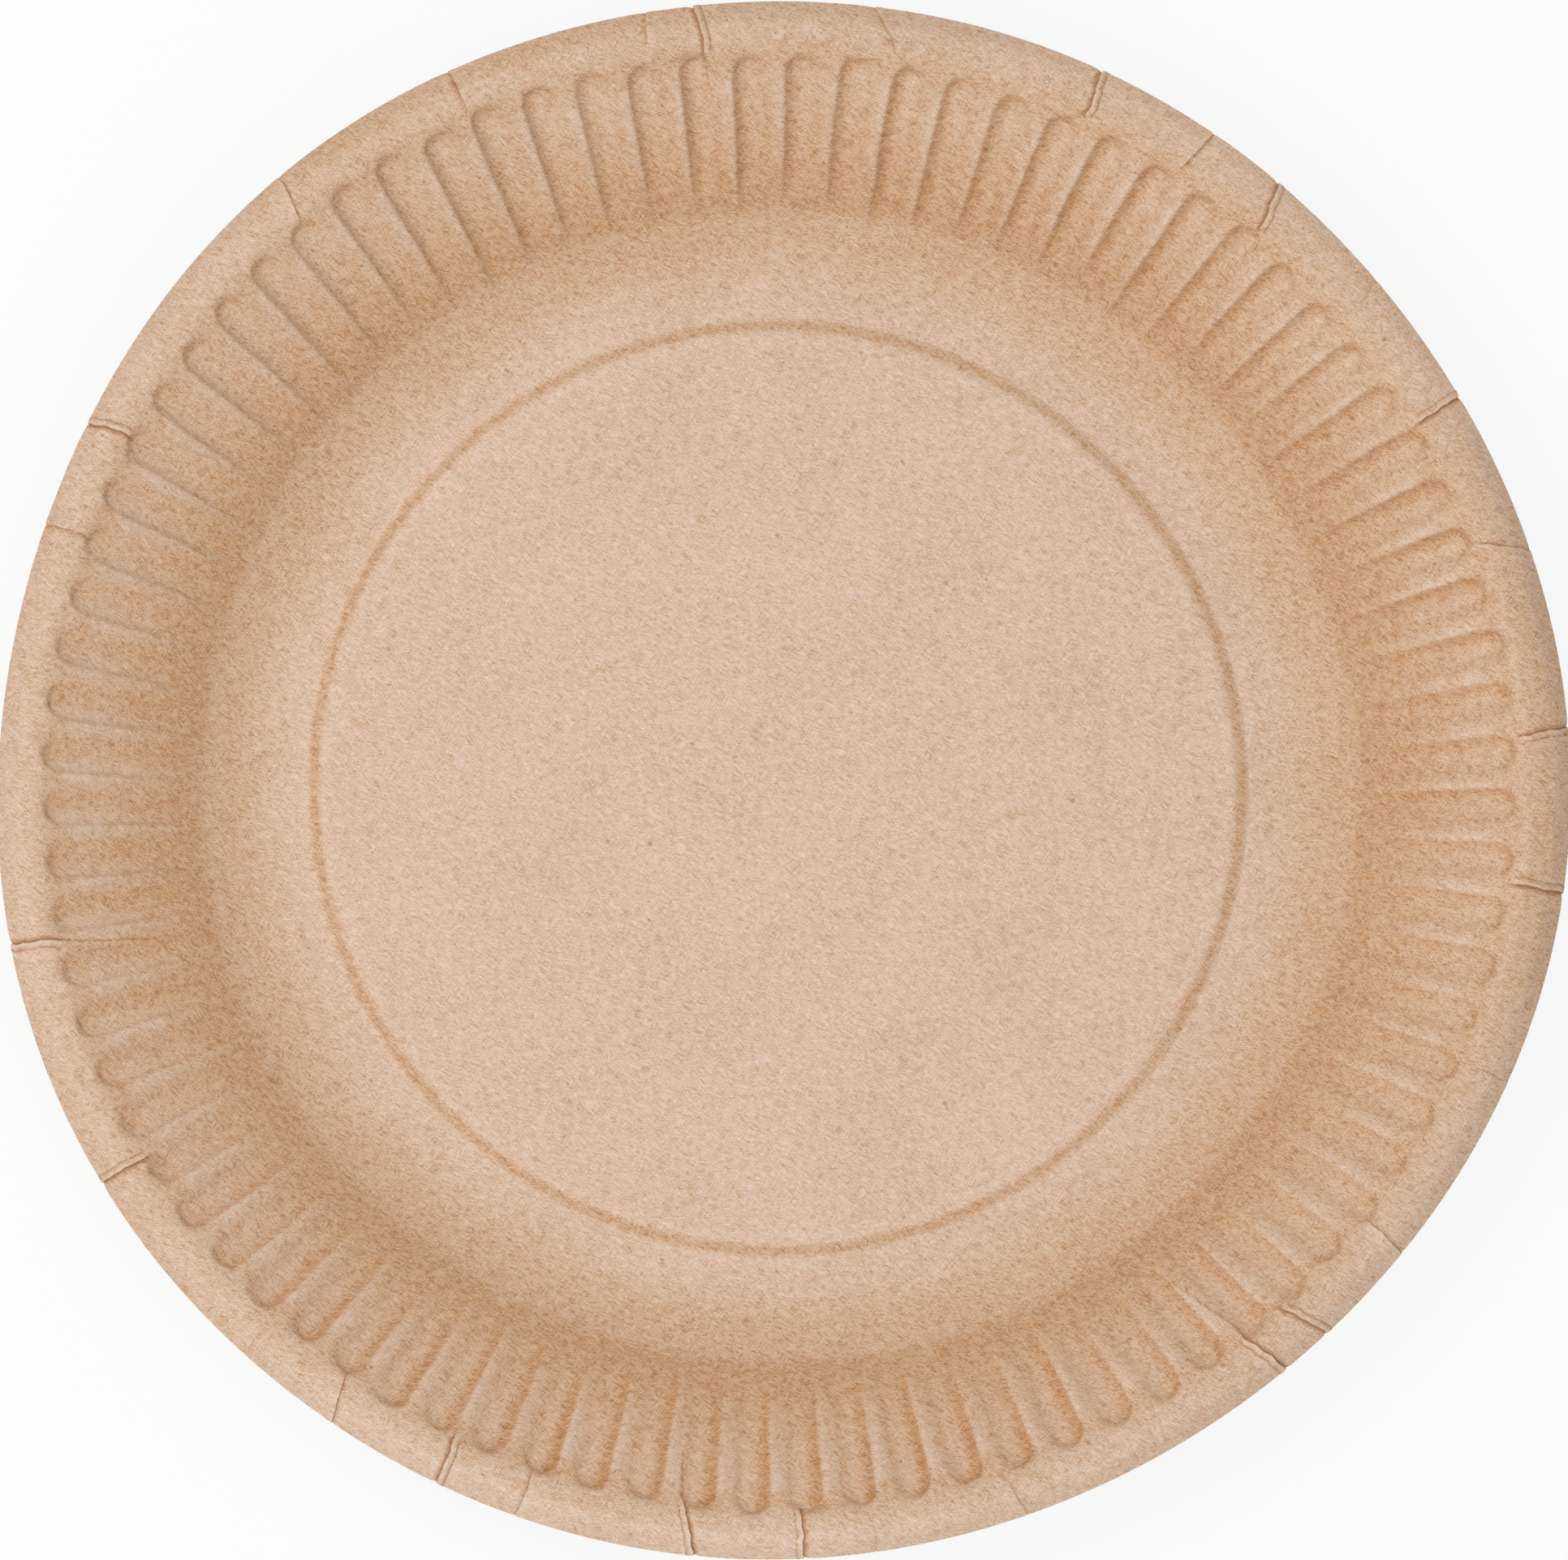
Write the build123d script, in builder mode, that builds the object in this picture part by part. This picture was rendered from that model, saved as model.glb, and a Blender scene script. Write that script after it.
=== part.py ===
from build123d import *
from math import cos, pi, radians, sin, tan
import os

os.makedirs("parts", exist_ok=True)

# A round plate pressed from one sheet of paperboard, with a fluted wall and a turned-down rim.
# Z is the plate's axis, it opens upwards, and z = 0 is the surface it stands on.

# sheet and outside diameter
board = 0.45
plate_diameter = 230

# raised centre panel, and the pressed ring that steps down from it
panel_diameter = 134
panel_rise = 0.9
ring_width = 2.0
ring_fall = 0.55
step_width = 0.7

# flat band that the plate stands on, round the ring
base_width = 3.1

# wall and rim in section, from the foot outwards
foot_bend = 21
wall_slope = 34
crest_bend = 4
flange_slope = 5
flange_width = 1.9
lip_slope = 35
lip_width = 2.7

# flutes: each has a steep edge on one side and a floor that rises gently on the other
flute_count = 84
first_flute = 89.5
flute_depth = 0.9
flute_edge_slope = 42
ridge_width = 0.5
run_in_length = 3.5
flute_start = 0.5
flute_stop = 1.0
end_turns = (0, 50)

# radii on the upper face where the wall begins and ends
base_radius = panel_diameter / 2 + ring_width + step_width + base_width
wall_foot_radius = base_radius + foot_bend * sin(radians(wall_slope))
crest_width = crest_bend * (sin(radians(wall_slope)) + sin(radians(flange_slope)))
wall_top_radius = plate_diameter / 2 - lip_width - flange_width - crest_width
wall_length = (wall_top_radius - wall_foot_radius) / cos(radians(wall_slope))

# plain plate: its section is drawn along the upper face, from the axis to the rim
with BuildPart() as plate:
    with BuildSketch(Plane.XZ):
        with BuildLine():
            panel = Line((0, board + panel_rise), (panel_diameter / 2, board + panel_rise))
            ring = Line(panel @ 1, panel @ 1 + Vector(ring_width, -ring_fall))
            step = Line(ring @ 1, ring @ 1 + Vector(step_width, ring_fall - panel_rise))
            base = Line(step @ 1, step @ 1 + Vector(base_width, 0))
            foot = JernArc(base @ 1, base % 1, foot_bend, wall_slope)
            wall = Line(foot @ 1, foot @ 1 + wall_length * (foot % 1))
            crest = JernArc(wall @ 1, wall % 1, crest_bend, -wall_slope - flange_slope)
            flange_fall = flange_width * tan(radians(flange_slope))
            flange = Line(crest @ 1, crest @ 1 + Vector(flange_width, -flange_fall))
            lip_fall = lip_width * tan(radians(lip_slope))
            lip = Line(flange @ 1, flange @ 1 + Vector(lip_width, -lip_fall))
            offset(amount=board, side=Side.RIGHT, kind=Kind.INTERSECTION)
        make_face()
    revolve(axis=Axis.Z)

# the wall's upper face where the X axis crosses it: x runs up the wall and y along it,
# towards the steep edge of the flute drawn here
up_wall = Vector(cos(radians(wall_slope)), 0, sin(radians(wall_slope)))
off_wall = up_wall.cross(Vector(0, 1, 0))
wall_face = Plane(origin=(wall_foot_radius, 0, (foot @ 1).Y), x_dir=up_wall, z_dir=off_wall)

# neighbouring flutes would meet at this height over the wall, but a narrow ridge parts them
pitch = 2 * pi * wall_top_radius / flute_count
wall_bow = (pitch / 2) ** 2 * sin(radians(wall_slope)) / wall_top_radius / 2
edge_spread = 1 / tan(radians(flute_edge_slope))
meeting_height = wall_bow + ridge_width / (pitch / flute_depth + edge_spread)


def meeting_point(distance, side):
    # all these lines run to the tip of the wall's cone, so a flute narrows towards the foot
    radius = wall_foot_radius + distance * up_wall.X
    return Vector(
        distance, side * radius * tan(pi / flute_count), meeting_height * radius / wall_top_radius
    )


def plane_through(first, second, third):
    along = second - first
    return Plane(origin=first, x_dir=along, z_dir=along.cross(third - first))


# planes round one flute, each facing into it
end_radius = pitch / 2
end_centre = wall_length - flute_stop - end_radius
left_foot, left_end = meeting_point(0, -1), meeting_point(end_centre, -1)
right_foot, right_end = meeting_point(0, 1), meeting_point(end_centre, 1)
corner = Vector(end_centre, right_end.Y - (flute_depth + right_end.Z) * edge_spread, -flute_depth)
floor = plane_through(left_foot, left_end, corner)
edge = plane_through(right_end, right_foot, corner)
left_side = Plane(origin=left_foot, z_dir=Vector(0, 0, 1).cross(left_end - left_foot))
run_in = Plane(origin=(flute_start, 0, 0), z_dir=(flute_depth, 0, run_in_length))
sides = [floor, edge, left_side, run_in]
for turn in end_turns:
    outward = Vector(cos(radians(turn)), sin(radians(turn)))
    sides.append(Plane(origin=Vector(end_centre, 0) + end_radius * outward, z_dir=-outward))

# those planes cut each block down; a hollow's block stays low, so that it clears the curved foot
block_length, block_width = 4 * wall_length, 4 * pitch
hollow_height, rib_height = 4 * flute_depth, 4 * (flute_depth + board)

# the hollow of one flute
with BuildPart() as hollow:
    Box(block_length, block_width, hollow_height)
    for side in sides:
        split(bisect_by=side, keep=Keep.TOP)

# the board under one flute, from half way through the wall down to the flute's outer face
with BuildPart() as rib:
    Box(block_length, block_width, rib_height)
    for side in sides:
        split(bisect_by=side.offset(-board), keep=Keep.TOP)
    split(bisect_by=Plane.XY.offset(-board / 2), keep=Keep.BOTTOM)

# the flutes round the wall, on both faces of the sheet
with plate:
    with PolarLocations(0, flute_count, start_angle=first_flute):
        add(wall_face.location * rib.part)
    with PolarLocations(0, flute_count, start_angle=first_flute):
        add(wall_face.location * hollow.part, mode=Mode.SUBTRACT)

plate.part.label = "plate"
export_step(plate.part, "parts/plate.step")
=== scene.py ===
import math
import random

import bpy
from mathutils import Matrix, Vector, noise


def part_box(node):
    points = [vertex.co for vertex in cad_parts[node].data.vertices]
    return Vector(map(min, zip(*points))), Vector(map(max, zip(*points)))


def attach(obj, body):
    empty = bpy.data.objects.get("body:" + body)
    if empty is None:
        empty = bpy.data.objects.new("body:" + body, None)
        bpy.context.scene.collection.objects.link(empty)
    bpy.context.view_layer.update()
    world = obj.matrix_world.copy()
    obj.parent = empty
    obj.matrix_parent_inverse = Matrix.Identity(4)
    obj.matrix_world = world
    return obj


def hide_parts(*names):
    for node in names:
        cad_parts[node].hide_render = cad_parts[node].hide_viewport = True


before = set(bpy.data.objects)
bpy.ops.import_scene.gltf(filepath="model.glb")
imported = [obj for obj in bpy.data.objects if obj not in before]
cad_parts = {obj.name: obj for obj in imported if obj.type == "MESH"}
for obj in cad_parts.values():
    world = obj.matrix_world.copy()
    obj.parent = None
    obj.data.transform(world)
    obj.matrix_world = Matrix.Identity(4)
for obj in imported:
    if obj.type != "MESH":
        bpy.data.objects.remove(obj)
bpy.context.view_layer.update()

plateLow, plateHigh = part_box("plate")
mm = 0.001

print("frame loaded")

# the sheet, in section from the axis to the rim; lengths in mm, slopes in degrees
sheetSize = {
    "board": 0.45,
    "panelRise": 0.9,
    "panelRadius": 67.0,
    "ringWidth": 2.0,
    "ringFall": 0.55,
    "stepWidth": 0.7,
    "baseWidth": 3.1,
    "footBend": 21.0,
    "wallSlope": 34.0,
    "crestBend": 4.0,
    "flangeSlope": 5.0,
    "flangeWidth": 1.9,
    "lipSlope": 35.0,
    "lipWidth": 2.7,
    # half the width over which a corner is rounded, by radius
    "softening": ((66, 0.5), (68, 0.3), (68.8, 0.12), (71, 0.12), (73, 1.0), (104, 1.0), (108, 1.2), (115, 0.8)),
    "warpFrom": 74.0,  # the outline's unevenness and the rim's wave grow from here
    "rimWave": 0.25,
    "waveScale": 2.2,
    "blank": 250.0,  # side of the square that the sheet's own map covers
    "mergeWithin": 0.002,
    "smoothBelow": 50,  # edges that bend less than this are shaded smooth
}

# the sheet's outline isn't quite round: (turns, cosine share, sine share) of its radius, in mm
outlineWave = (
    (2, 0.36, 0.27),
    (3, 0.52, -0.33),
    (4, 0.10, 0.01),
    (5, 0.14, -0.29),
    (6, 0.02, 0.10),
)

# flutes round the wall; a share is a part of the pitch, counted clockwise from the steep edge
fluteSize = {
    "count": 84,
    "first": 0.46,  # degrees clockwise from the far side
    "start": 83.6,
    "startSpread": 1.4,
    "end": 107.9,
    "endLeft": 0.02,
    "endPeak": 0.34,
    "endRight": 0.72,
    "leftRound": 2.7,
    "rightRound": 3.1,
    "endWall": 1.8,
    # a band on each flute's steep rim end, browner and darker: partly pressed board, partly painted shade on the end
    # wall
    "endPaintedShadeTint": 0.35,
    "endPaintedShade": 0.09,
    "endSide": 0.6,  # how much weaker the end's brown band is at its sides
    "pressDepth": 0.12,
    # painted shade on the floor before each ridge, browner and darker; where the amount is below 0, painted light
    "floorPaintedShadeTint": 0.38,
    "floorPaintedShade": 0.02,
    "floorPaintedLight": 0.09,
    "floorIn": (0.2, 0.5),
    "floorOut": (0.68, 0.82),
    "centre": (-0.39, -0.22),  # the flutes stand a little off the plate's own centre
    "centreIn": (80, 84),
    "centreOut": (107.5, 110.5),
    "depthSpread": 0.14,
    "endSpread": 0.35,
    "wander": 0.035,
    "wanderIn": (84, 90),
    "wanderOut": (106, 108),
    "wanderScale": (0.12, 14),
    "evenFrom": 107.4,  # from the crowded columns of a flute to the rim's even ones
    "evenTo": 109.3,
    "deepen": ((98, 1.0), (103, 1.15), (110, 1.15)),
}

# one flute across: share of the pitch, height over the plain wall in mm, and how much browner and shade, both
# fitted to the photograph; the dark at the steep edge is partly painted shade in the crease, and the pale ridge
# partly a painted highlight
fluteSection = (
    (-0.04, 0.23, -0.30, 0.05),
    (0.015, 0.15, -0.15, 0.035),
    (0.05, -0.22, 0.20, -0.025),
    (0.09, -0.54, 0.34, -0.06),
    (0.14, -0.77, 0.38, -0.075),
    (0.215, -0.92, 0.25, -0.05),
    (0.34, -0.91, 0.0, 0.0),
    (0.46, -0.75, -0.06, 0.005),
    (0.57, -0.54, 0.04, -0.01),
    (0.65, -0.27, 0.08, -0.02),
    (0.73, -0.05, 0.03, -0.01),
    (0.84, 0.10, -0.12, 0.02),
)

# how the flutes change round the plate: degrees clockwise from the far side, how far the steep edge is pressed
# and darkened, partly painted shade by side (below 0 it is paler than the plain board, painted light), length of
# the run-in from the foot in mm, drift in degrees, shift of the rim end in mm, and how far the floor before the
# next ridge is browned and darkened with painted shade (below 0 it is painted light); both tones are fitted to
# the photograph, with part of its light on each side in them
fluteRound = (
    (0, 1.0, 9, 0.05, -0.4, 0.0),
    (15, 1.2, 8, 0.10, -0.8, 0.0),
    (45, 1.25, 13, 0.10, -0.6, 0.0),
    (75, 1.2, 16, 0.08, -0.2, 0.1),
    (105, 0.4, 17, -0.08, 0.0, 0.3),
    (135, 0.8, 19, -0.35, 0.8, 0.1),
    (165, 1.6, 19, -0.05, 0.7, -0.3),
    (195, 1.8, 17, 0.15, 0.8, -0.7),
    (225, 1.1, 17, -0.04, 0.8, 0.0),
    (255, -0.5, 14, -0.08, 1.0, 0.9),
    (285, -0.5, 18, -0.10, 1.1, 0.6),
    (315, 0.4, 13, 0.0, 0.5, 0.1),
    (345, 0.6, 9, 0.05, 0.1, 0.0),
    (360, 1.0, 9, 0.05, -0.4, 0.0),
)

# radii of the rows of points, in mm, close together where the section bends
rowRadii = (
    0, 24, 50, 62.5, 65.2, 66.2, 66.6, 66.9, 67.2, 67.5, 68.2, 68.8, 68.95, 69.1, 69.35, 69.6, 69.75, 69.95, 70.6,
    71.7, 73.2, 75.2, 77.2, 79.2, 81.2, 83.0,
    84.4, 85.6, 86.8, 88.4, 91.0, 94.5, 98.0, 101.0,
    103.0, 104.2, 105.0, 105.7, 106.3, 106.9, 107.5, 108.1,
    108.7, 109.3, 109.9, 110.5, 111.1, 111.6, 112.1, 112.6, 113.1, 113.7, 114.4, 115.0,
)
fineFrom = 83.5
coarseStep = 3

# folds where the rim was gathered: angle at the edge and at the inner end in degrees clockwise
# from the far side, radius of the inner end in mm, strength, side of the raised flap
rimFolds = (
    (6.9, 9.3, 108.2, 0.5, 1),
    (24.3, 24.8, 107.2, 1.0, 1),
    (33.8, 33.3, 107.5, 0.5, -1),
    (39.8, 41.2, 107.0, 1.0, 1),
    (50.0, 50.8, 110.5, 0.25, 1),
    (60.5, 60.8, 107.0, 0.9, -1),
    (73.0, 71.2, 107.6, 0.5, 1),
    (86.2, 86.7, 107.2, 0.9, 1),
    (98.3, 98.1, 107.0, 1.0, -1),
    (112.7, 112.7, 110.0, 0.25, 1),
    (127.4, 126.9, 107.8, 0.5, 1),
    (135.5, 136.6, 106.9, 0.9, -1),
    (139.5, 140.3, 106.9, 1.0, 1),
    (161.5, 162.2, 109.5, 0.25, 1),
    (172.9, 172.9, 110.0, 0.25, -1),
    (178.3, 178.3, 107.0, 0.9, 1),
    (186.4, 187.5, 106.9, 1.0, 1),
    (199.7, 199.5, 107.8, 0.5, -1),
    (205.9, 206.2, 107.0, 1.0, -1),
    (214.8, 216.0, 107.6, 0.5, 1),
    (223.0, 223.0, 110.0, 0.25, 1),
    (239.0, 239.0, 107.0, 0.9, 1),
    (257.7, 257.2, 106.9, 1.0, -1),
    (289.0, 289.2, 107.6, 0.5, 1),
    (297.1, 297.9, 107.0, 0.9, 1),
    (320.2, 319.4, 107.6, 0.5, -1),
    (334.8, 335.0, 107.6, 0.5, 1),
    (350.0, 349.6, 109.5, 0.4, 1),
    (353.5, 354.3, 106.9, 1.0, 1),
)

# a bend that the gathering left along the right rim, in mm, with a darker line along it that is partly painted
# shade; it shows between two angles, in degrees clockwise from the far side, and fades in over a few more
rimBend = {
    "radius": 111.6,
    "halfWidth": 0.55,
    "depth": 0.09,
    "brownAndPaintedShade": 0.28,
    "from": 58.0,
    "to": 103.0,
    "fade": 8.0,
}

# the rim's tone by side, fitted to its mean tone in the photograph: the browner, darker places are partly painted
# shade by side, and the last two are mostly painted light and shade that make up for the lamps: degrees
# clockwise from the far side, half width in degrees, radius from which it shows in mm, how much browner, shade
rimTintAndPaintedLight = (
    (90, 30, 108.5, 0.28, 0.93),
    (340, 40, 111.0, 0.30, 0.97),
    (42, 32, 111.0, 0.10, 1.10),
    (188, 50, 110.5, -0.16, 1.03),
)
patchCore = 0.3  # share of the half width that has the full colour
patchEdge = 1.5  # mm over which a place begins

# folds that run on down the wall: angle and radius where each starts and ends, strength, side
wallFolds = (
    (136.6, 107.0, 137.0, 104.4, 0.6, -1),
    (140.3, 107.0, 142.1, 91.9, 0.6, 1),
    (187.5, 107.0, 188.0, 98.5, 0.6, 1),
    (257.2, 107.0, 255.6, 91.3, 0.7, -1),
    (354.3, 107.0, 354.6, 100.5, 0.6, 1),
)

# a fold across: a line, a level flap with a second line at its edge, and a drop on the other side; in mm
foldSize = {
    "flapRise": 0.34,
    "flapWidth": 0.8,
    "flapLevel": 0.6,
    "flapEdge": 1.0,
    "edgeWidth": 0.22,
    "edgeShare": 0.6,
    "edgeNeeds": (0.5, 0.9),  # strength of a fold from which its flap's edge shows
    "drop": 0.14,
    "dropWidth": 0.5,
    "lineWidth": 0.28,
    "flapPale": (-0.05, 0.1),  # mm from the line over which the flap turns pale
    "notch": 0.25,
    "notchWidth": 0.5,
    "notchIn": (113.5, 115),
    "wobble": 0.35,
    "wobbleScale": (0.7, 3.7),
    "reach": 4.5,  # degrees on either side
    "gatherIn": (106, 107.5),
    "gatherOut": (5, 9),  # columns from the fold
    # columns are drawn in beside a fold: number of the column, share of its own distance
    "gather": ((0, 0.12), (1, 0.12), (2, 0.22), (3, 0.414), (4, 0.372), (5, 0.365), (6, 0.48), (7, 0.6), (8, 1.0)),
    "fadeBefore": 0.8,
    "fadeAfter": 1.5,
    "wallShare": 0.6,
    "wallFade": (-0.5, 4),  # mm past a long fold's inner end
    "wallRows": (88, 108),
    "fineReach": 0.9,
    "fineCuts": 2,
}

# how the pressed fibres turn browner and darker along the section, fitted to the photograph's mean tone by
# radius; much of the darkening is painted shade, in the wall's foot, the ring band and at the flute ends, and the
# paler shoulder of the panel is a painted highlight: radius in mm, how much browner, shade
pressBrowningAndPaintedShade = (
    (0, 0.0, 1.0), (60, 0.03, 0.98), (65.3, 0.04, 0.98), (66.0, -0.10, 1.0),
    (66.9, -0.12, 1.0), (67.4, -0.05, 1.0), (67.7, 0.34, 0.93), (68.2, 0.64, 0.87),
    (68.9, 0.64, 0.87), (69.3, 0.30, 0.96), (69.7, 0.02, 0.98), (72, 0.11, 0.96),
    (75, 0.19, 0.96), (78, 0.40, 0.935), (81, 0.53, 0.925), (84.5, 0.53, 0.925),
    (86, 0.84, 0.85), (88, 0.88, 0.86), (92, 0.73, 0.895), (96, 0.56, 0.935),
    (100, 0.40, 0.97), (104, 0.31, 0.985), (106.3, 0.53, 0.98), (107.3, 0.50, 0.97),
    (109, 0.33, 0.955), (110.5, 0.28, 0.955), (112, 0.21, 0.995), (113.5, 0.21, 0.995),
    (115, 0.23, 0.98),
)


def smoothStep(low, high, value):
    share = min(max((value - low) / (high - low), 0), 1)
    return share * share * (3 - 2 * share)


def alongTable(table, value, column):
    # reads a column of a table between its rows, by the first column
    value = max(value, table[0][0])
    for low, high in zip(table, table[1:]):
        if value <= high[0]:
            share = (value - low[0]) / (high[0] - low[0])
            return low[column] + share * (high[column] - low[column])
    return table[-1][column]


ringOut = sheetSize["panelRadius"] + sheetSize["ringWidth"]
baseIn = ringOut + sheetSize["stepWidth"]
baseOut = baseIn + sheetSize["baseWidth"]
wallTan = math.tan(math.radians(sheetSize["wallSlope"]))
wallSin = math.sin(math.radians(sheetSize["wallSlope"]))
wallCos = math.cos(math.radians(sheetSize["wallSlope"]))
flangeTan = math.tan(math.radians(sheetSize["flangeSlope"]))
lipTan = math.tan(math.radians(sheetSize["lipSlope"]))
rimRadius = (plateHigh[0] - plateLow[0]) / 2 / mm
wallIn = baseOut + sheetSize["footBend"] * wallSin
flangeOut = rimRadius - sheetSize["lipWidth"]
flangeIn = flangeOut - sheetSize["flangeWidth"]
crestTop = flangeIn - sheetSize["crestBend"] * math.sin(math.radians(sheetSize["flangeSlope"]))
wallOut = crestTop - sheetSize["crestBend"] * wallSin
wallInHeight = sheetSize["board"] + sheetSize["footBend"] * (1 - wallCos)
wallOutHeight = wallInHeight + (wallOut - wallIn) * wallTan
crestHeight = wallOutHeight + sheetSize["crestBend"] * (1 - wallCos)
flangeFall = sheetSize["crestBend"] * (1 - math.cos(math.radians(sheetSize["flangeSlope"])))


def sharpHeight(radius):
    # the upper face as it is in CAD
    board, rise = sheetSize["board"], sheetSize["panelRise"]
    if radius <= sheetSize["panelRadius"]:
        return board + rise
    if radius <= ringOut:
        return board + rise - sheetSize["ringFall"] * (radius - sheetSize["panelRadius"]) / sheetSize["ringWidth"]
    if radius <= baseIn:
        return board + (rise - sheetSize["ringFall"]) * (baseIn - radius) / sheetSize["stepWidth"]
    if radius <= baseOut:
        return board
    if radius <= wallIn:
        return board + sheetSize["footBend"] - math.sqrt(sheetSize["footBend"] ** 2 - (radius - baseOut) ** 2)
    if radius <= wallOut:
        return wallInHeight + (radius - wallIn) * wallTan
    if radius <= flangeIn:
        bend = sheetSize["crestBend"]
        return crestHeight - bend + math.sqrt(bend ** 2 - (radius - crestTop) ** 2)
    if radius <= flangeOut:
        return crestHeight - flangeFall - (radius - flangeIn) * flangeTan
    return crestHeight - flangeFall - sheetSize["flangeWidth"] * flangeTan - (radius - flangeOut) * lipTan


def softHeight(radius):
    soft = alongTable(sheetSize["softening"], radius, 1)
    samples = [abs(radius + soft * step) for step in (-1, -0.6, -0.2, 0.2, 0.6, 1)]
    return sum(sharpHeight(sample) for sample in samples) / len(samples)


# the section worked out once at close steps: height, slope and length of the sheet from the axis
sectionStep = 0.05
sectionHeights = [softHeight(index * sectionStep) for index in range(int(rimRadius / sectionStep) + 2)]
sectionLengths = [0.0]
for low, high in zip(sectionHeights, sectionHeights[1:]):
    sectionLengths.append(sectionLengths[-1] + math.hypot(sectionStep, high - low))


def sectionAt(radius):
    index = min(int(radius / sectionStep), len(sectionHeights) - 2)
    share = radius / sectionStep - index
    rise = sectionHeights[index + 1] - sectionHeights[index]
    length = sectionLengths[index + 1] - sectionLengths[index]
    return sectionHeights[index] + share * rise, rise / sectionStep, sectionLengths[index] + share * length


def fluteShare(angle):
    # number of the flute at an angle clockwise, and the share of its pitch
    turns = (angle - fluteSize["first"]) / pitch
    number = math.floor(turns - fluteSection[0][0] + sameColumn)
    return int(number) % fluteSize["count"], turns - number


pitch = 360 / fluteSize["count"]
sameColumn = 1e-4  # keeps a point that lies on the seam of two flutes in the later one
dice = random.Random(4)
fluteDepths = [1 + fluteSize["depthSpread"] * dice.uniform(-1, 1) for _ in range(fluteSize["count"])]
fluteEnds = [fluteSize["end"] + fluteSize["endSpread"] * dice.uniform(-1, 1) for _ in range(fluteSize["count"])]
fluteStarts = [fluteSize["start"] + fluteSize["startSpread"] * dice.uniform(-1, 1) for _ in range(fluteSize["count"])]
closedSection = fluteSection + ((fluteSection[0][0] + 1,) + fluteSection[0][1:],)


def fluteFade(radius, angle, number, share):
    # 1 along a flute, falling to 0 at its rounded rim end and where it runs out into the foot
    peak = fluteSize["endPeak"]
    left, right = peak - fluteSize["endLeft"], fluteSize["endRight"] - peak
    across = min((peak - share) / left if share < peak else (share - peak) / right, 1)
    drop = fluteSize["leftRound"] if share < peak else fluteSize["rightRound"]
    end = fluteEnds[number] + alongTable(fluteRound, angle, 4) - drop * (1 - math.sqrt(max(1 - across * across, 0)))
    closing = 1 - smoothStep(end - fluteSize["endWall"], end, radius)
    start = fluteStarts[number]
    opening = smoothStep(start, start + alongTable(fluteRound, angle, 2), radius)
    opening *= alongTable(fluteSize["deepen"], radius, 1)
    return closing * opening, 4 * closing * (1 - closing) * (1 - across * fluteSize["endSide"])


print("laying out one sector of the flat sheet")
columnCount = len(fluteSection)
bpy.ops.object.select_all(action="DESELECT")
bpy.ops.mesh.primitive_grid_add(x_subdivisions=columnCount, y_subdivisions=len(rowRadii) - 1, size=1)
plate = bpy.context.object
plate.name = "kraftPlate"
for point in plate.data.vertices:
    column = round((point.co.x + 0.5) * columnCount)
    radius = rowRadii[round((point.co.y + 0.5) * (len(rowRadii) - 1))]
    if radius < fineFrom:
        column = round(column / coarseStep) * coarseStep
    crowded = closedSection[column][0]
    even = closedSection[0][0] + column / columnCount
    blend = smoothStep(fluteSize["evenFrom"], fluteSize["evenTo"], radius)
    angle = math.radians((crowded + (even - crowded) * blend) * pitch + fluteSize["first"])
    point.co = Vector((radius * math.sin(angle), radius * math.cos(angle), 0)) * mm

print("copying it round")
copies = [plate]
for turn in range(1, fluteSize["count"]):
    copy = plate.copy()
    copy.data = plate.data.copy()
    bpy.context.collection.objects.link(copy)
    copy.data.transform(Matrix.Rotation(-math.radians(turn * pitch), 4, "Z"))
    copies.append(copy)
bpy.ops.object.select_all(action="DESELECT")
for copy in copies:
    copy.select_set(True)
bpy.context.view_layer.objects.active = plate
bpy.ops.object.join()
bpy.ops.object.mode_set(mode="EDIT")
bpy.ops.mesh.select_all(action="SELECT")
bpy.ops.mesh.remove_doubles(threshold=sheetSize["mergeWithin"] * mm)
bpy.ops.object.mode_set(mode="OBJECT")


def turnsApart(first, second):
    # degrees between two angles, the short way round
    return abs((first - second + 180) % 360 - 180)


def foldPath(fold, radius):
    # angle of a fold at a radius, with a slight wander
    outerAngle, innerAngle, innerRadius = fold[:3]
    share = (rimRadius - radius) / (rimRadius - innerRadius)
    alongScale, foldScale = foldSize["wobbleScale"]
    wander = foldSize["wobble"] * noise.noise(Vector((radius * alongScale, outerAngle * foldScale, 0)))
    return outerAngle + share * (innerAngle - outerAngle) + math.degrees(wander / radius)


def foldShape(offset, strength, side):
    # height, darkness of the line and paleness of the flap at a distance from a fold, in mm
    across = offset * side
    if across >= 0:
        edgeFrom, edgeTo = foldSize["flapEdge"] - foldSize["edgeWidth"], foldSize["flapEdge"] + foldSize["edgeWidth"]
        level = 1 - smoothStep(edgeFrom, edgeTo, across)
        slant = math.exp(-across / foldSize["flapWidth"])
        rise = foldSize["flapRise"] * (foldSize["flapLevel"] * level + (1 - foldSize["flapLevel"]) * slant)
    else:
        rise = -foldSize["drop"] * math.exp(across / foldSize["dropWidth"])
    line = max(1 - abs(across + foldSize["lineWidth"] * 0.5) / foldSize["lineWidth"], 0)
    edge = max(1 - abs(across - foldSize["flapEdge"]) / foldSize["edgeWidth"], 0) * foldSize["edgeShare"]
    line = max(line, edge * smoothStep(*foldSize["edgeNeeds"], strength))
    flap = math.exp(-across / foldSize["flapWidth"]) * smoothStep(*foldSize["flapPale"], across)
    return rise * strength, line * strength, flap * strength


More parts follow.
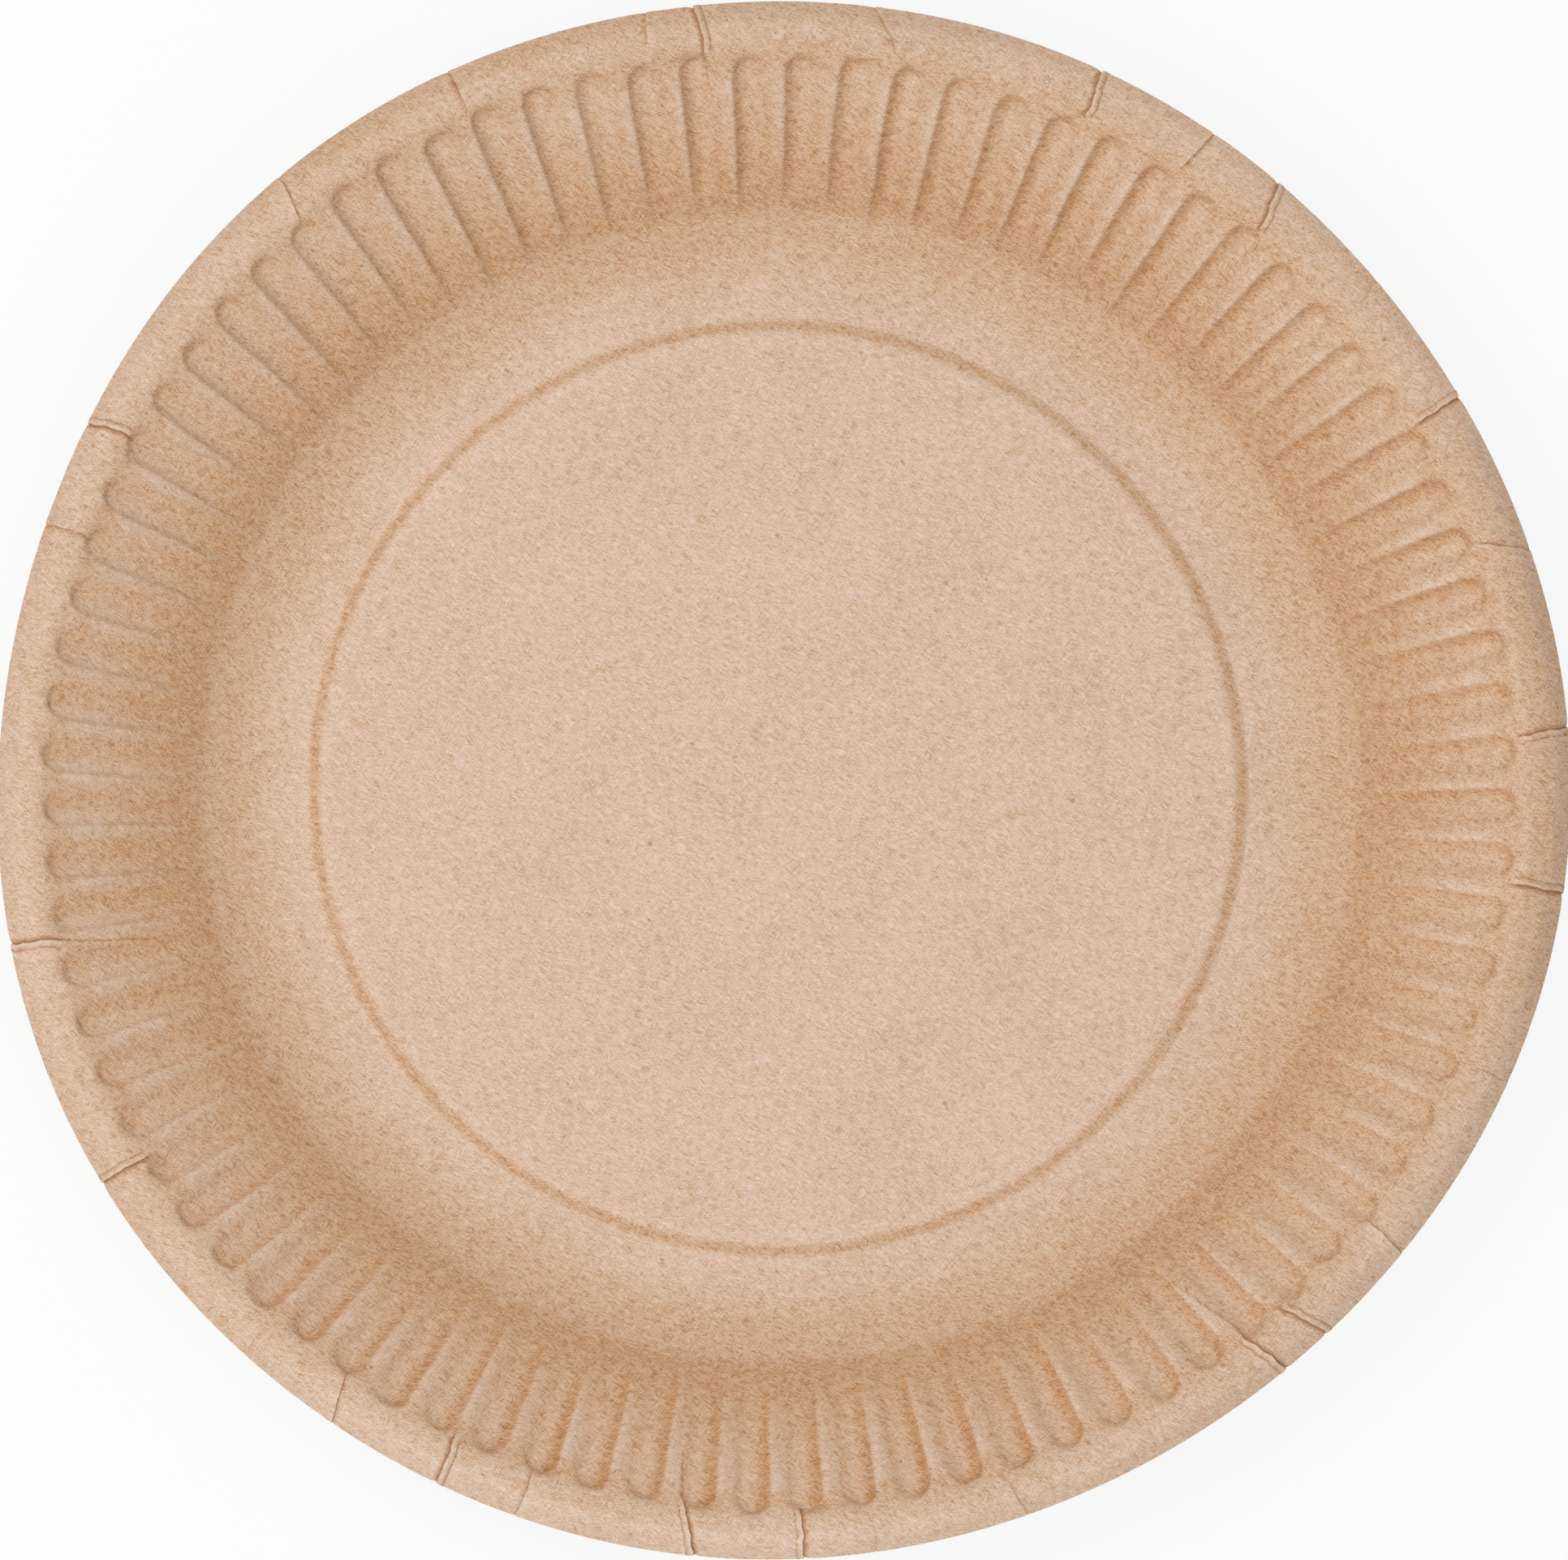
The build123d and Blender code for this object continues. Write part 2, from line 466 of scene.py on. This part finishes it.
print("subdividing the sheet beside the long folds")
bpy.ops.object.mode_set(mode="EDIT")
bpy.ops.mesh.select_all(action="DESELECT")
bpy.ops.object.mode_set(mode="OBJECT")
for face in plate.data.polygons:
    radius = math.hypot(face.center.x, face.center.y) / mm
    angle = math.degrees(math.atan2(face.center.x, face.center.y)) % 360
    for startAngle, startRadius, endAngle, endRadius, strength, side in wallFolds:
        if endRadius - 1 < radius < startRadius:
            share = (startRadius - radius) / (startRadius - endRadius)
            offset = math.radians(angle - startAngle - share * (endAngle - startAngle)) * radius
            if abs(offset) < foldSize["fineReach"]:
                face.select = True
bpy.ops.object.mode_set(mode="EDIT")
bpy.ops.mesh.subdivide(number_cuts=foldSize["fineCuts"])
bpy.ops.object.mode_set(mode="OBJECT")

print("pressing it")
mesh = plate.data
flatPoints = []
# per point: how much browner, darkness of fold lines, paleness of flaps, and shade; the brown tint and shade hold
# painted shade and painted light as well as pressed board
toneAndPaintedShade = mesh.attributes.new("toneAndPaintedShade", "FLOAT_COLOR", "POINT")
columnAngle = pitch / columnCount
for point, paint in zip(mesh.vertices, toneAndPaintedShade.data):
    radius = math.hypot(point.co.x, point.co.y) / mm
    angle = math.degrees(math.atan2(point.co.x, point.co.y)) % 360
    line = flap = foldRise = notch = 0.0

    if radius > foldSize["gatherIn"][0]:
        fold = min(rimFolds, key=lambda item: turnsApart(angle, (item[0] + item[1]) / 2))
        middle = (fold[0] + fold[1]) / 2
        if turnsApart(angle, middle) < foldSize["reach"]:
            path = foldPath(fold, radius)
            column = round((middle - fluteSize["first"]) / columnAngle - fluteSection[0][0] * columnCount)
            columnPlace = (column + fluteSection[0][0] * columnCount) * columnAngle + fluteSize["first"]
            steps = ((angle - columnPlace + 180) % 360 - 180) / columnAngle
            hold = smoothStep(*foldSize["gatherIn"], radius) * (1 - smoothStep(*foldSize["gatherOut"], abs(steps)))
            near = alongTable(foldSize["gather"], abs(steps), 1)
            angle += hold * (path + steps * near * columnAngle - angle)
            offset = math.radians(angle - path) * radius
            fade = fold[3] * smoothStep(fold[2] - foldSize["fadeBefore"], fold[2] + foldSize["fadeAfter"], radius)
            foldRise, line, flap = foldShape(offset, fade, fold[4])
            notch = fold[3] * foldSize["notch"] * math.exp(-abs(offset) / foldSize["notchWidth"])
            notch *= smoothStep(*foldSize["notchIn"], radius)
    if foldSize["wallRows"][0] < radius < foldSize["wallRows"][1]:
        for startAngle, startRadius, endAngle, endRadius, strength, side in wallFolds:
            if turnsApart(angle, startAngle) < foldSize["reach"]:
                share = (startRadius - radius) / (startRadius - endRadius)
                wobbleAt = Vector((radius * foldSize["wobbleScale"][0], startAngle * foldSize["wobbleScale"][1], 5))
                wander = foldSize["wobble"] * noise.noise(wobbleAt) / radius
                path = startAngle + share * (endAngle - startAngle) + math.degrees(wander)
                offset = math.radians((angle - path + 180) % 360 - 180) * radius
                fade = strength * smoothStep(*foldSize["wallFade"], radius - endRadius)
                rise, darkness, paleness = foldShape(offset, fade, side)
                foldRise += rise * foldSize["wallShare"]
                line = max(line, darkness * foldSize["wallShare"])
                flap = max(flap, paleness * foldSize["wallShare"])

    bendShare = max(1 - abs(radius - rimBend["radius"]) / rimBend["halfWidth"], 0)
    bendShare *= smoothStep(rimBend["from"], rimBend["from"] + rimBend["fade"], angle)
    bendShare *= 1 - smoothStep(rimBend["to"] - rimBend["fade"], rimBend["to"], angle)
    foldRise -= rimBend["depth"] * bendShare
    height, slope, length = sectionAt(radius)
    number, share = fluteShare(angle)
    window = smoothStep(*fluteSize["wanderIn"], radius) * (1 - smoothStep(*fluteSize["wanderOut"], radius))
    acrossPart, alongPart = math.sin(math.radians(angle)), math.cos(math.radians(angle))
    outScale, roundScale = fluteSize["wanderScale"]
    stray = noise.noise(Vector((radius * outScale, acrossPart * roundScale, alongPart * roundScale)))
    offCentre = fluteSize["centre"][0] * alongPart - fluteSize["centre"][1] * acrossPart
    offCentre *= smoothStep(*fluteSize["centreIn"], radius) * (1 - smoothStep(*fluteSize["centreOut"], radius))
    drift = (fluteSize["wander"] * pitch * stray + alongTable(fluteRound, angle, 3)) * window
    turn = math.radians(angle + drift) + offCentre / max(radius, 1)
    flatPoints.append((length * math.sin(turn), length * math.cos(turn)))
    fade, endPaintedShadeBand = fluteFade(radius, angle, number, share)
    # the steep edge's press also paints shade by side, and paints light where it is below 0
    pressAndPaintedShade = alongTable(fluteRound, angle, 1)
    fade *= fluteDepths[number] * (1 + fluteSize["pressDepth"] * (max(pressAndPaintedShade, 0) - 1))
    lift = alongTable(closedSection, share, 1) * fade + foldRise
    away = math.sqrt(1 + slope * slope)
    spread = smoothStep(sheetSize["warpFrom"], rimRadius, radius)
    roundTurn = math.pi / 2 - turn
    outward = 0
    for turns, cosShare, sinShare in outlineWave:
        outward += cosShare * math.cos(turns * roundTurn) + sinShare * math.sin(turns * roundTurn)
    reach = radius - lift * slope / away + outward * spread - notch
    waveAt = Vector((math.sin(turn), math.cos(turn), 3)) * sheetSize["waveScale"]
    wave = sheetSize["rimWave"] * spread * noise.noise(waveAt)
    point.co = Vector((reach * math.sin(turn), reach * math.cos(turn), height + lift / away + wave)) * mm
    # the brown tint and shade of each point: pressed board, with painted shade and painted highlight from the
    # section, the flutes, their ends, their floors and the rim places
    crossTintAndPaintedShade, shadow = alongTable(closedSection, share, 2), alongTable(closedSection, share, 3)
    brownAndPaintedShade = alongTable(pressBrowningAndPaintedShade, radius, 1) + crossTintAndPaintedShade * fade * (pressAndPaintedShade if crossTintAndPaintedShade > 0 else 1)
    shade = alongTable(pressBrowningAndPaintedShade, radius, 2) + shadow * fade * (pressAndPaintedShade if shadow < 0 else 1)
    brownAndPaintedShade += endPaintedShadeBand * fluteSize["endPaintedShadeTint"] + bendShare * rimBend["brownAndPaintedShade"]
    shade -= endPaintedShadeBand * fluteSize["endPaintedShade"]
    # painted shade by side on the floor before the next ridge; a negative amount paints light instead
    floorPaintedShadeAndLight = smoothStep(*fluteSize["floorIn"], share) * (1 - smoothStep(*fluteSize["floorOut"], share))
    floorPaintedShadeAndLight *= fade * alongTable(fluteRound, angle, 5)
    brownAndPaintedShade += max(floorPaintedShadeAndLight, 0) * fluteSize["floorPaintedShadeTint"]
    shade -= floorPaintedShadeAndLight * fluteSize["floorPaintedShade" if floorPaintedShadeAndLight > 0 else "floorPaintedLight"]
    # rim places: painted shade and painted light by side, with some browner board
    for middle, halfWidth, innerRadius, patchBrown, patchShade in rimTintAndPaintedLight:
        amount = 1 - smoothStep(patchCore, 1, turnsApart(angle, middle) / halfWidth)
        amount *= smoothStep(innerRadius, innerRadius + patchEdge, radius)
        brownAndPaintedShade += amount * patchBrown
        shade *= 1 + amount * (patchShade - 1)
    paint.color = (brownAndPaintedShade, line, flap, shade)

blankMap = mesh.uv_layers.new(name="blank")
for corner, spot in zip(mesh.loops, blankMap.data):
    flat = flatPoints[corner.vertex_index]
    spot.uv = (0.5 + flat[0] / sheetSize["blank"], 0.5 + flat[1] / sheetSize["blank"])

bpy.ops.object.mode_set(mode="EDIT")
bpy.ops.mesh.select_all(action="SELECT")
bpy.ops.mesh.normals_make_consistent(inside=False)
bpy.ops.object.mode_set(mode="OBJECT")
if sum(face.normal.z for face in mesh.polygons) < 0:
    bpy.ops.object.mode_set(mode="EDIT")
    bpy.ops.mesh.flip_normals()
    bpy.ops.object.mode_set(mode="OBJECT")

print("giving the sheet its thickness")
solidify = plate.modifiers.new("board", "SOLIDIFY")
solidify.thickness = sheetSize["board"] * mm
solidify.offset = -1
bpy.ops.object.modifier_apply(modifier=solidify.name)
bpy.ops.object.shade_smooth_by_angle(angle=math.radians(sheetSize["smoothBelow"]))
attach(plate, "root")
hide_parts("plate")
print("triangles:", sum(len(face.vertices) - 2 for face in plate.data.polygons))

print("making the kraft board")
boardLook = {
    "base": 0.657,  # where the plain board stands in the run of fibre colours
    "mottle": 0.05,
    "patch": 0.05,
    "felt": 0.235,
    "feltWhereTinted": 0.85,
    "hair": 0.11,
    "uneven": 1.0,
    "speck": 0.35,
    "largeSpeck": 0.9,
    "line": 1.3,
    "flap": 0.36,
    "brownTintAndPaintedShade": (0.98, 0.80, 0.60),
    "gain": 1.042,
    "roughness": 0.88,
    "specular": 0.3,
    "bump": 0.05,
    "bumpStrength": 0.5,
    "bumpTurn": 0.5,
    "bumpScale": (1.2, 4.0, 1),
    "bendScale": 0.3,
    "bendReach": (1.2, -1.0, 0),
    "strandTurns": (0.1, 0.5, 1.0, 2.2),  # more of them lie across than along
    "strandScale": (0.55, 6.6, 1),
    "strandApart": (37.3, 11.9),
    "strandPale": (0.55, 0.78),
    "strandDark": (0.45, 0.24),
    "hairSpin": 6.283,  # the hairs lie every way
    "hairThin": (0.03, 0.1),
    "hairLong": (0.7, 0.9),
    "mottleScale": 0.3,
    "patchScale": 0.06,
    "speckScale": 0.16,
    "speckFrom": 0.75,  # only cells above this have a speck
    "speckRadius": 0.055,
    "speckEdge": 0.01,
    "streakTurn": 0.45,
    "streakScale": (0.3, 0.75, 1),
}

# how the board's colour runs from its darkest fibres to its palest, as colour goes with brightness in the
# photograph
fibreColours = (
    (0.0, (0.478, 0.264, 0.150)),
    (0.143, (0.528, 0.312, 0.183)),
    (0.286, (0.578, 0.364, 0.226)),
    (0.429, (0.625, 0.416, 0.277)),
    (0.571, (0.665, 0.470, 0.338)),
    (0.714, (0.703, 0.521, 0.392)),
    (1.0, (0.765, 0.625, 0.515)),
)
kraft = bpy.data.materials.new("kraftBoard")
kraft.use_nodes = True
nodes = kraft.node_tree.nodes
links = kraft.node_tree.links
shader = nodes["Principled BSDF"]


def reckon(first, second, kind="ADD", clamp=False):
    # a math node on two values, each a number or a socket
    node = nodes.new("ShaderNodeMath")
    node.operation = kind
    node.use_clamp = clamp
    for socket, value in zip(node.inputs, (first, second)):
        if isinstance(value, (int, float)):
            socket.default_value = value
        else:
            links.new(value, socket)
    return node.outputs[0]


def mapped(vector, turn=0.0, scale=(1, 1, 1), place=(0, 0, 0)):
    node = nodes.new("ShaderNodeMapping")
    node.vector_type = "POINT"
    node.inputs["Location"].default_value = place
    node.inputs["Rotation"].default_value = (0, 0, turn)
    node.inputs["Scale"].default_value = scale
    links.new(vector, node.inputs["Vector"])
    return node.outputs[0]


def turned(vector, turn):
    node = nodes.new("ShaderNodeVectorRotate")
    node.rotation_type = "Z_AXIS"
    node.inputs["Angle"].default_value = turn
    links.new(vector, node.inputs["Vector"])
    return node.outputs[0]


def cloud(vector, scale, detail=2.0, rough=0.5):
    # soft noise over the flat sheet
    node = nodes.new("ShaderNodeTexNoise")
    node.noise_dimensions = "2D"
    node.inputs["Scale"].default_value = scale
    node.inputs["Detail"].default_value = detail
    node.inputs["Roughness"].default_value = rough
    links.new(vector, node.inputs["Vector"])
    return node


def ranged(value, low, high, toLow=0.0, toHigh=1.0, kind="SMOOTHSTEP"):
    # a value brought from one range to another
    node = nodes.new("ShaderNodeMapRange")
    node.interpolation_type = kind
    for socket, number in zip(list(node.inputs)[1:5], (low, high, toLow, toHigh)):
        socket.default_value = number
    links.new(value, node.inputs["Value"])
    return node.outputs["Result"]


uvNode = nodes.new("ShaderNodeUVMap")
uvNode.uv_map = "blank"
sheetPlace = mapped(uvNode.outputs[0], scale=(sheetSize["blank"], sheetSize["blank"], 1))  # in mm on the flat sheet
bend = cloud(sheetPlace, boardLook["bendScale"], 0.0)
bendShift = nodes.new("ShaderNodeVectorMath")
bendShift.operation = "MULTIPLY_ADD"
bendShift.inputs[1].default_value = boardLook["bendReach"]
links.new(bend.outputs[0], bendShift.inputs[0])
links.new(sheetPlace, bendShift.inputs[2])
curled = bendShift.outputs[0]

# felted fibres that lie every way, pale ones over darker ones
palest, darkest = None, None
for index, turn in enumerate(boardLook["strandTurns"]):
    apart = (index * boardLook["strandApart"][0], index * boardLook["strandApart"][1], 0)
    strand = cloud(mapped(turned(curled, turn), scale=boardLook["strandScale"], place=apart), 1.0, 1.0)
    pale = ranged(strand.outputs[0], *boardLook["strandPale"])
    dark = ranged(strand.outputs[0], *boardLook["strandDark"])
    palest = pale if palest is None else reckon(palest, pale)
    darkest = dark if darkest is None else reckon(darkest, dark)
felt = reckon(reckon(palest, darkest, "SUBTRACT"), boardLook["felt"], "MULTIPLY")

# single hairs that stand out: cells to the mm, length, gain, place of the pattern
hairs = None
hairKinds = ((0.42, 0.6, 1.0, 11.0), (0.33, 0.8, 0.8, 47.0), (0.55, 0.5, -0.7, 83.0))
for scale, reach, gain, place in hairKinds:
    cells = nodes.new("ShaderNodeTexVoronoi")
    cells.voronoi_dimensions = "2D"
    cells.inputs["Scale"].default_value = scale
    shifted = mapped(curled, place=(place, place * 0.7, 0))
    links.new(shifted, cells.inputs["Vector"])
    gap = nodes.new("ShaderNodeVectorMath")
    gap.operation = "SUBTRACT"
    links.new(shifted, gap.inputs[0])
    links.new(cells.outputs["Position"], gap.inputs[1])
    tint = nodes.new("ShaderNodeSeparateColor")
    links.new(cells.outputs["Color"], tint.inputs[0])
    spin = nodes.new("ShaderNodeVectorRotate")
    spin.rotation_type = "Z_AXIS"
    links.new(gap.outputs[0], spin.inputs["Vector"])
    links.new(reckon(tint.outputs[0], boardLook["hairSpin"], "MULTIPLY"), spin.inputs["Angle"])
    axes = nodes.new("ShaderNodeSeparateXYZ")
    links.new(spin.outputs[0], axes.inputs[0])
    thin = ranged(reckon(axes.outputs[1], 0, "ABSOLUTE"), *boardLook["hairThin"], 1.0, 0.0)
    longFrom, longTo = [end / scale * reach for end in boardLook["hairLong"]]
    long = ranged(reckon(axes.outputs[0], 0, "ABSOLUTE"), longFrom, longTo, 1.0, 0.0)
    hair = reckon(reckon(thin, long, "MULTIPLY"), reckon(tint.outputs[1], gain, "MULTIPLY"), "MULTIPLY")
    hairs = hair if hairs is None else reckon(hairs, hair)
hairs = reckon(hairs, boardLook["hair"], "MULTIPLY")

# soft clouds, and a few dark specks of bark
mottleCloud = cloud(sheetPlace, boardLook["mottleScale"], 3.0)
mottle = reckon(reckon(mottleCloud.outputs[0], 0.5, "SUBTRACT"), boardLook["mottle"] * 4, "MULTIPLY")
patchCloud = cloud(sheetPlace, boardLook["patchScale"])
patch = reckon(reckon(patchCloud.outputs[0], 0.5, "SUBTRACT"), boardLook["patch"] * 4, "MULTIPLY")
specks = nodes.new("ShaderNodeTexVoronoi")
specks.voronoi_dimensions = "2D"
specks.inputs["Scale"].default_value = boardLook["speckScale"]
links.new(sheetPlace, specks.inputs["Vector"])
speckTint = nodes.new("ShaderNodeSeparateColor")
links.new(specks.outputs["Color"], speckTint.inputs[0])
speckSize = ranged(speckTint.outputs[0], boardLook["speckFrom"], 1.0, 0.0, boardLook["speckRadius"], "LINEAR")
speckGap = reckon(specks.outputs["Distance"], speckSize, "SUBTRACT")
speckSpot = ranged(speckGap, -boardLook["speckEdge"], boardLook["speckEdge"], 1.0, 0.0)
speck = reckon(speckSpot, boardLook["speck"], "MULTIPLY")

# the larger specks, where the photograph shows them: place on the flat sheet and radius, in mm
largeSpecks = (
    (-48.8, 73.5, 0.30),
    (1.9, 47.8, 0.20),
    (19.7, 12.5, 0.22),
    (82.3, 23.9, 0.22),
    (3.8, -23.8, 0.16),
    (37.2, 32.5, 0.13),
    (-33.9, -1.0, 0.12),
    (67.2, 12.0, 0.45),
    (-55.7, 41.1, 0.25),
)
for speckX, speckY, speckRadius in largeSpecks:
    fromSpeck = nodes.new("ShaderNodeVectorMath")
    fromSpeck.operation = "DISTANCE"
    fromSpeck.inputs[1].default_value = (speckX, speckY, 0)
    links.new(sheetPlace, fromSpeck.inputs[0])
    spot = ranged(fromSpeck.outputs["Value"], speckRadius * 0.5, speckRadius, boardLook["largeSpeck"], 0.0)
    speck = reckon(speck, spot)

# the point colours: brown tint and shade, partly pressed board and partly painted shade and painted light, with fold
# lines and flap paleness
toneAndShadeNode = nodes.new("ShaderNodeAttribute")
toneAndShadeNode.attribute_name = "toneAndPaintedShade"
toneAndShadeParts = nodes.new("ShaderNodeSeparateColor")
links.new(toneAndShadeNode.outputs["Color"], toneAndShadeParts.inputs[0])
brownAndShadeOut, lineOut, flapOut = toneAndShadeParts.outputs[0], toneAndShadeParts.outputs[1], toneAndShadeParts.outputs[2]

fibreGain = reckon(reckon(brownAndShadeOut, boardLook["feltWhereTinted"], "MULTIPLY"), 1)  # fibres stand out more where the board is pressed browner, and where shade is painted
tone = reckon(reckon(reckon(reckon(felt, hairs), fibreGain, "MULTIPLY"), reckon(mottle, patch)), boardLook["base"])
tone = reckon(tone, reckon(flapOut, boardLook["flap"], "MULTIPLY"))
tone = reckon(tone, reckon(lineOut, boardLook["line"], "MULTIPLY"), "SUBTRACT")
tone = reckon(tone, speck, "SUBTRACT", True)
ramp = nodes.new("ShaderNodeValToRGB")
ramp.color_ramp.interpolation = "LINEAR"
while len(ramp.color_ramp.elements) < len(fibreColours):
    ramp.color_ramp.elements.new(0.5)
for element, (spot, colour) in zip(ramp.color_ramp.elements, fibreColours):
    element.position = spot
    element.color = colour + (1,)
links.new(tone, ramp.inputs[0])
brownTintAndPaintedShade = nodes.new("ShaderNodeMix")
brownTintAndPaintedShade.data_type = "RGBA"
brownTintAndPaintedShade.blend_type = "MULTIPLY"
brownTintAndPaintedShade.clamp_factor = False
for socket in brownTintAndPaintedShade.inputs:
    if socket.name == "B" and socket.type == "RGBA":
        socket.default_value = boardLook["brownTintAndPaintedShade"] + (1,)
    if socket.name == "A" and socket.type == "RGBA":
        links.new(ramp.outputs[0], socket)
streakPlace = mapped(turned(curled, boardLook["streakTurn"]), scale=boardLook["streakScale"])
streaks = cloud(streakPlace, 1.0, 2.0, 0.6)
unevenness = reckon(reckon(streaks.outputs[0], 0.5, "SUBTRACT"), boardLook["uneven"], "MULTIPLY")
links.new(reckon(brownAndShadeOut, reckon(unevenness, 1, "ADD"), "MULTIPLY"), brownTintAndPaintedShade.inputs["Factor"])
colourOut = [socket for socket in brownTintAndPaintedShade.outputs if socket.type == "RGBA"][0]
shaded = nodes.new("ShaderNodeVectorMath")
shaded.operation = "SCALE"
links.new(colourOut, shaded.inputs[0])
links.new(reckon(toneAndShadeNode.outputs["Alpha"], boardLook["gain"], "MULTIPLY"), shaded.inputs["Scale"])
links.new(shaded.outputs[0], shader.inputs["Base Color"])
shader.inputs["Roughness"].default_value = boardLook["roughness"]
shader.inputs["Specular IOR Level"].default_value = boardLook["specular"]

bump = nodes.new("ShaderNodeBump")
bump.inputs["Strength"].default_value = boardLook["bumpStrength"]
bump.inputs["Distance"].default_value = boardLook["bump"] * mm
grain = cloud(mapped(sheetPlace, boardLook["bumpTurn"], boardLook["bumpScale"]), 1.0, 1.0)
links.new(grain.outputs[0], bump.inputs["Height"])
links.new(bump.outputs[0], shader.inputs["Normal"])
plate.data.materials.clear()
plate.data.materials.append(kraft)

print("floor, lamps and camera")
floorLook = {
    "width": 6.0,
    "albedo": 0.8,
    "roughness": 0.9,
    "lift": 0.88,  # how far what the camera sees of it is drawn to white
}
bpy.ops.mesh.primitive_plane_add(size=floorLook["width"], location=(0, 0, plateLow[2]))
floor = bpy.context.object
floor.name = "studioFloor"
floorMaterial = bpy.data.materials.new("paleFloor")
floorMaterial.use_nodes = True
floorNodes = floorMaterial.node_tree.nodes
floorLinks = floorMaterial.node_tree.links
floorShader = floorNodes["Principled BSDF"]
floorShader.inputs["Base Color"].default_value = (floorLook["albedo"],) * 3 + (1,)
floorShader.inputs["Roughness"].default_value = floorLook["roughness"]
floorGlow = floorNodes.new("ShaderNodeEmission")
floorGlow.inputs["Strength"].default_value = 1
floorRay = floorNodes.new("ShaderNodeLightPath")
seen = floorNodes.new("ShaderNodeMath")
seen.operation = "ADD"
floorLinks.new(floorRay.outputs["Is Glossy Ray"], seen.inputs[0])
floorLinks.new(floorRay.outputs["Is Transmission Ray"], seen.inputs[1])
seenAll = floorNodes.new("ShaderNodeMath")
seenAll.operation = "ADD"
seenAll.use_clamp = True
floorLinks.new(floorRay.outputs["Is Camera Ray"], seenAll.inputs[0])
floorLinks.new(seen.outputs[0], seenAll.inputs[1])
floorShare = floorNodes.new("ShaderNodeMath")
floorShare.operation = "MULTIPLY"
floorShare.inputs[1].default_value = floorLook["lift"]
floorLinks.new(seenAll.outputs[0], floorShare.inputs[0])
floorMix = floorNodes.new("ShaderNodeMixShader")
floorLinks.new(floorShare.outputs[0], floorMix.inputs[0])
floorLinks.new(floorShader.outputs[0], floorMix.inputs[1])
floorLinks.new(floorGlow.outputs[0], floorMix.inputs[2])
floorLinks.new(floorMix.outputs[0], floorNodes["Material Output"].inputs["Surface"])
floor.data.materials.append(floorMaterial)

# wide soft lamps round the table: name, azimuth and elevation in degrees, light that reaches the plate
lampLook = {
    "distance": 1.0,
    "width": 0.83,
    "watts": 12.35,
    "world": 0.11,
}
lampList = (
    ("overhead", 0, 90, 0.077),
    ("farLeft", 120, 58, 0.215),
    ("left", 180, 58, 0.280),
    ("near", 284, 58, 0.220),
    ("nearLow", 256, 30, 0.140),
    ("rightLow", 345, 30, 0.060),
    ("farLow", 80, 30, 0.104),
)
for lampName, azimuth, elevation, share in lampList:
    across = math.cos(math.radians(elevation)) * lampLook["distance"]
    up = math.sin(math.radians(elevation)) * lampLook["distance"]
    place = Vector((across * math.cos(math.radians(azimuth)), across * math.sin(math.radians(azimuth)), up))
    bpy.ops.object.light_add(type="AREA", location=place)
    lamp = bpy.context.object
    lamp.name = lampName
    lamp.data.shape = "SQUARE"
    lamp.data.size = lampLook["width"]
    lamp.data.energy = lampLook["watts"] * share
    lamp.rotation_euler = place.to_track_quat("Z", "Y").to_euler()

world = bpy.data.worlds.new("studioWorld")
world.use_nodes = True
world.node_tree.nodes["Background"].inputs["Color"].default_value = (1, 1, 1, 1)
world.node_tree.nodes["Background"].inputs["Strength"].default_value = lampLook["world"]
bpy.context.scene.world = world

# the photograph looks almost straight down, and the plate fills its frame
cameraSetup = {
    "leanX": -1.4,  # degrees off straight down
    "leanY": -4.5,
    "distance": 3.0,
    "sensor": 36.0,
    "frameWidth": 230.2,  # mm that the picture's width covers
    "aim": (0.5, -0.25, 18.4),
}
aim = Vector(cameraSetup["aim"]) * mm
lean = Vector((math.sin(math.radians(cameraSetup["leanX"])), math.sin(math.radians(cameraSetup["leanY"])), 0))
lean.z = math.sqrt(1 - lean.length_squared)
place = aim + lean * cameraSetup["distance"]
bpy.ops.object.camera_add(location=place)
camera = bpy.context.object
right = Vector((0, 1, 0)).cross(lean).normalized()
camera.rotation_euler = Matrix((right, lean.cross(right), lean)).transposed().to_euler()
camera.data.sensor_width = cameraSetup["sensor"]
camera.data.sensor_fit = "HORIZONTAL"
camera.data.lens = cameraSetup["sensor"] * cameraSetup["distance"] / (cameraSetup["frameWidth"] * mm)
bpy.context.scene.camera = camera
bpy.context.scene.view_settings.view_transform = "Standard"
